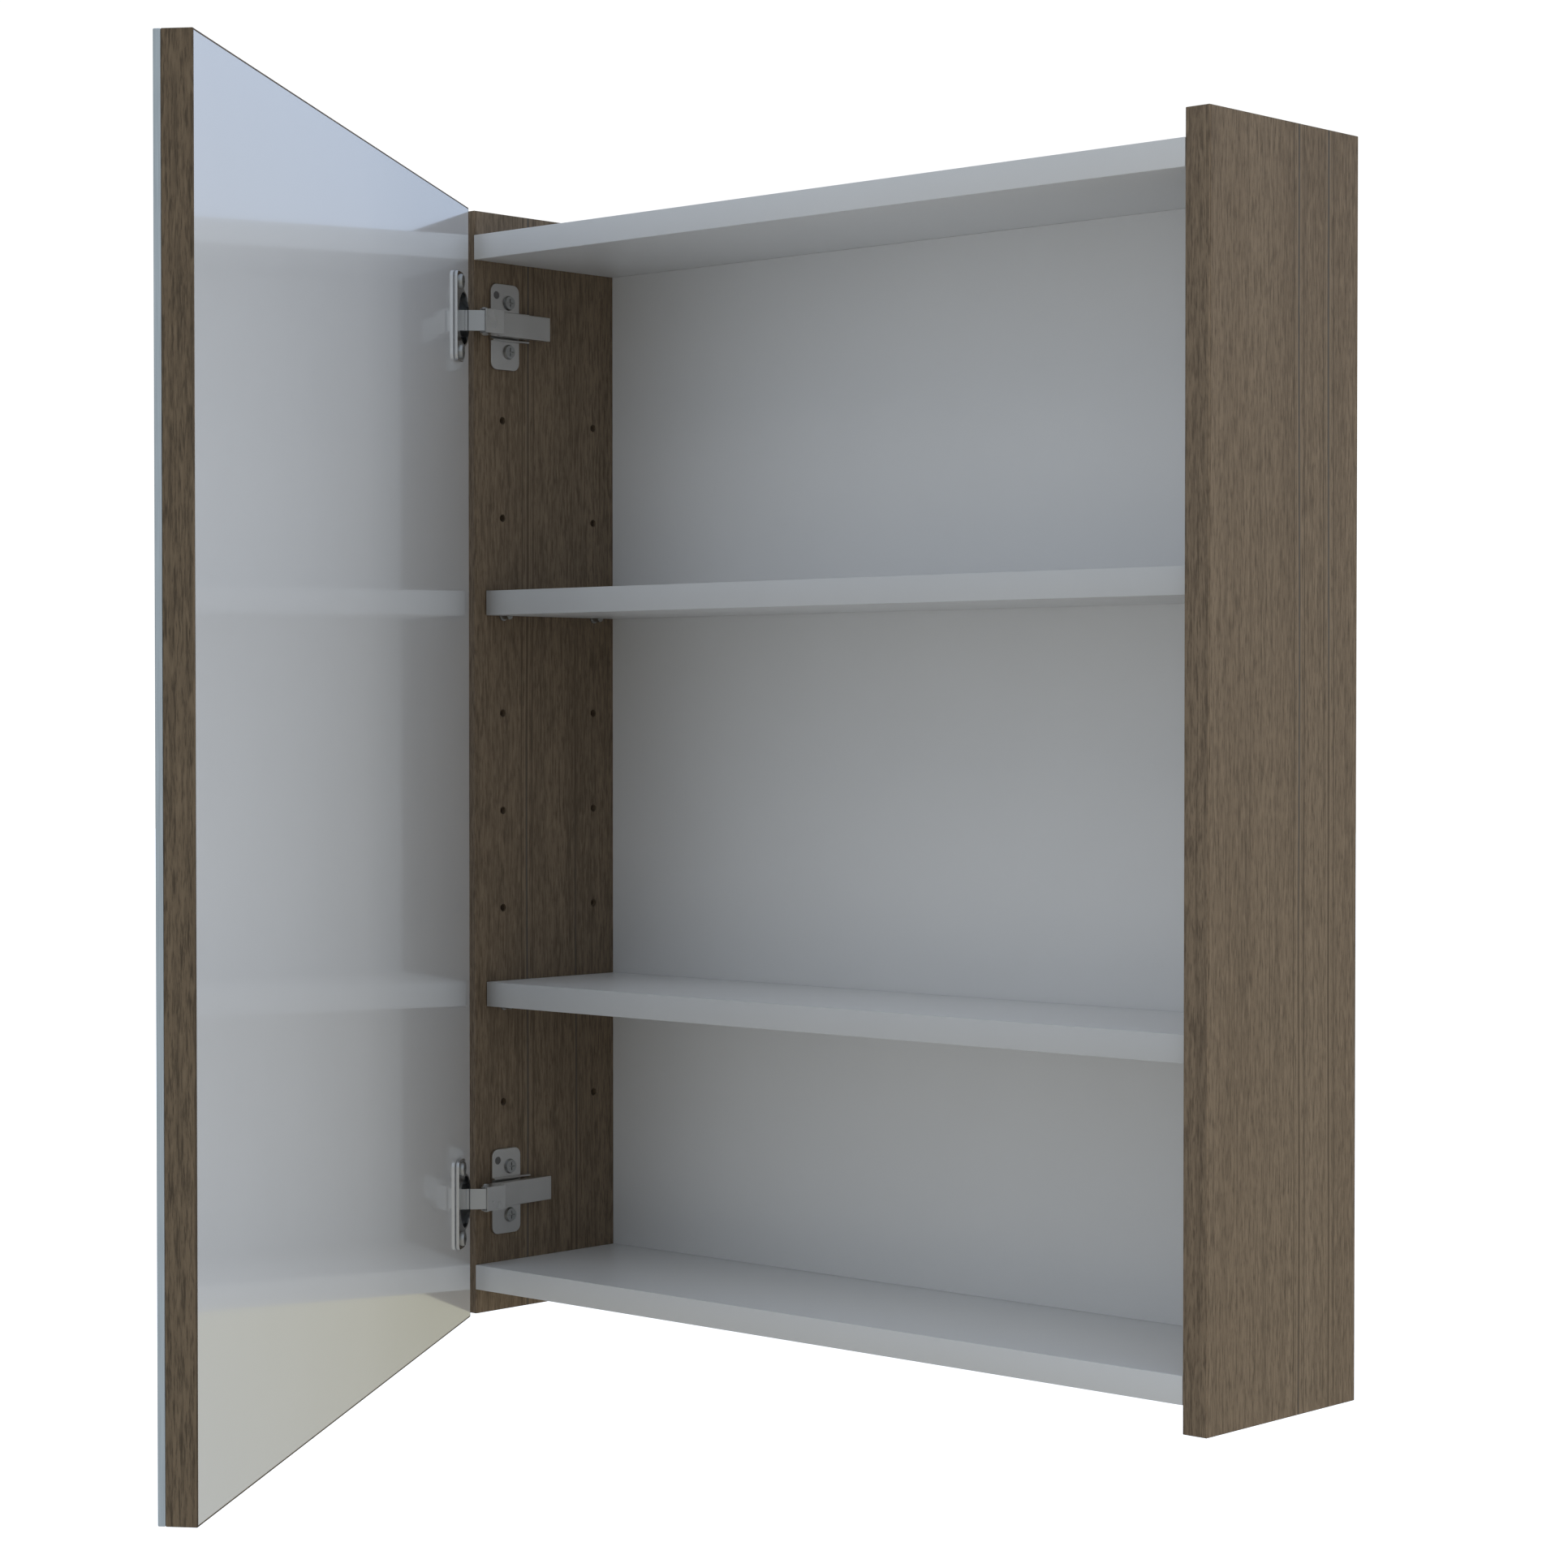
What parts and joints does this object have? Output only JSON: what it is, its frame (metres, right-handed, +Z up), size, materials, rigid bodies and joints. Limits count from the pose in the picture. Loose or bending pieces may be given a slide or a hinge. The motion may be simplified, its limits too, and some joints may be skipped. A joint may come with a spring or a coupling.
{
  "type": "medicine cabinet with mirror",
  "caption": "Wall-hung bathroom cabinet with a mirrored door on concealed cup hinges, loose shelves on pins and a hook rail behind.",
  "frame": {"origin": "middle of the upper hanging rail's rear face, which lies against the wall", "axes": "+X to the right seen from the room, +Y into the wall, +Z up"},
  "size_m": [0.6, 0.6534, 0.72],
  "materials": {
    "wood_decor": "matt grey-brown wood-grain film on particle board",
    "wood_edge_band": "thin edge banding, wood-grain",
    "white_melamine": "white melamine film on particle board",
    "gloss_white_door_board": "glossy white film on particle board",
    "raw_board": "bare particle board",
    "beech_dowel": "turned beech",
    "nickel_plate": "satin nickel plating",
    "zinc_screw": "zinc plating",
    "mirror": "silvered float glass"
  },
  "bodies": {
    "carcass": {"left_side_panel": "wood_decor", "right_side_panel": "wood_decor", "left_front_edge_band": "wood_edge_band", "right_front_edge_band": "wood_edge_band", "bottom_panel": "white_melamine", "top_panel": "white_melamine", "bottom_left_front_dowel": "beech_dowel", "bottom_left_rear_dowel": "beech_dowel", "bottom_right_front_dowel": "beech_dowel", "bottom_right_rear_dowel": "beech_dowel", "top_left_front_dowel": "beech_dowel", "top_left_rear_dowel": "beech_dowel", "top_right_front_dowel": "beech_dowel", "top_right_rear_dowel": "beech_dowel", "back_panel": "white_melamine", "upper_hanging_rail": "raw_board", "lower_hanging_rail": "raw_board", "lower_shelf_left_front_pin": "zinc_screw", "lower_shelf_left_rear_pin": "zinc_screw", "lower_shelf_right_front_pin": "zinc_screw", "lower_shelf_right_rear_pin": "zinc_screw", "upper_shelf_left_front_pin": "zinc_screw", "upper_shelf_left_rear_pin": "zinc_screw", "upper_shelf_right_front_pin": "zinc_screw", "upper_shelf_right_rear_pin": "zinc_screw", "lower_mounting_plate": "nickel_plate", "upper_mounting_plate": "nickel_plate", "lower_low_plate_screw": "zinc_screw", "lower_high_plate_screw": "zinc_screw", "upper_low_plate_screw": "zinc_screw", "upper_high_plate_screw": "zinc_screw", "lower_hinge_arm": "nickel_plate", "upper_hinge_arm": "nickel_plate", "lower_arm_cover": "nickel_plate", "upper_arm_cover": "nickel_plate", "lower_depth_clamp_screw": "zinc_screw", "upper_depth_clamp_screw": "zinc_screw", "lower_outer_link_rivet": "zinc_screw", "lower_inner_link_rivet": "zinc_screw", "upper_outer_link_rivet": "zinc_screw", "upper_inner_link_rivet": "zinc_screw"},
    "door": {"door_panel": "gloss_white_door_board", "door_edge_band": "wood_edge_band", "mirror_glass": "mirror", "lower_hinge_cup": "nickel_plate", "upper_hinge_cup": "nickel_plate", "lower_low_cup_screw": "zinc_screw", "lower_high_cup_screw": "zinc_screw", "upper_low_cup_screw": "zinc_screw", "upper_high_cup_screw": "zinc_screw", "lower_cup_wire": "zinc_screw", "upper_cup_wire": "zinc_screw", "lower_closing_spring": "zinc_screw", "upper_closing_spring": "zinc_screw"},
    "outer_links": {"lower_outer_link": "nickel_plate", "upper_outer_link": "nickel_plate"},
    "inner_links": {"lower_inner_link": "nickel_plate", "upper_inner_link": "nickel_plate"},
    "upper_shelf": {"upper_shelf": "white_melamine"},
    "lower_shelf": {"lower_shelf": "white_melamine"}
  },
  "joints": [
    {"name": "door_swing", "type": "hinge", "parent": "carcass", "child": "door", "pos_m": [-0.29598, -0.16944, -0.298], "axis": [0, 0, -1], "range_deg": [-55, 35]},
    {"name": "outer_link_swing", "type": "hinge", "parent": "carcass", "child": "outer_links", "pos_m": [-0.2635, -0.1535, -0.298], "axis": [0, 0, 1], "range_deg": [-44.6, 28.4]},
    {"name": "inner_link_swing", "type": "hinge", "parent": "carcass", "child": "inner_links", "pos_m": [-0.269, -0.148, -0.298], "axis": [0, 0, 1], "range_deg": [-43.6, 27.8]},
    {"name": "upper_shelf_lift", "type": "slide", "parent": "carcass", "child": "upper_shelf", "axis": [0, 0, 1], "range_m": [0, 0.05]},
    {"name": "lower_shelf_lift", "type": "slide", "parent": "carcass", "child": "lower_shelf", "axis": [0, 0, 1], "range_m": [0, 0.05]}
  ],
  "couplings": [
    {"joint": "outer_link_swing", "follows": "door_swing", "ratio": 0.81},
    {"joint": "inner_link_swing", "follows": "door_swing", "ratio": 0.792}
  ]
}
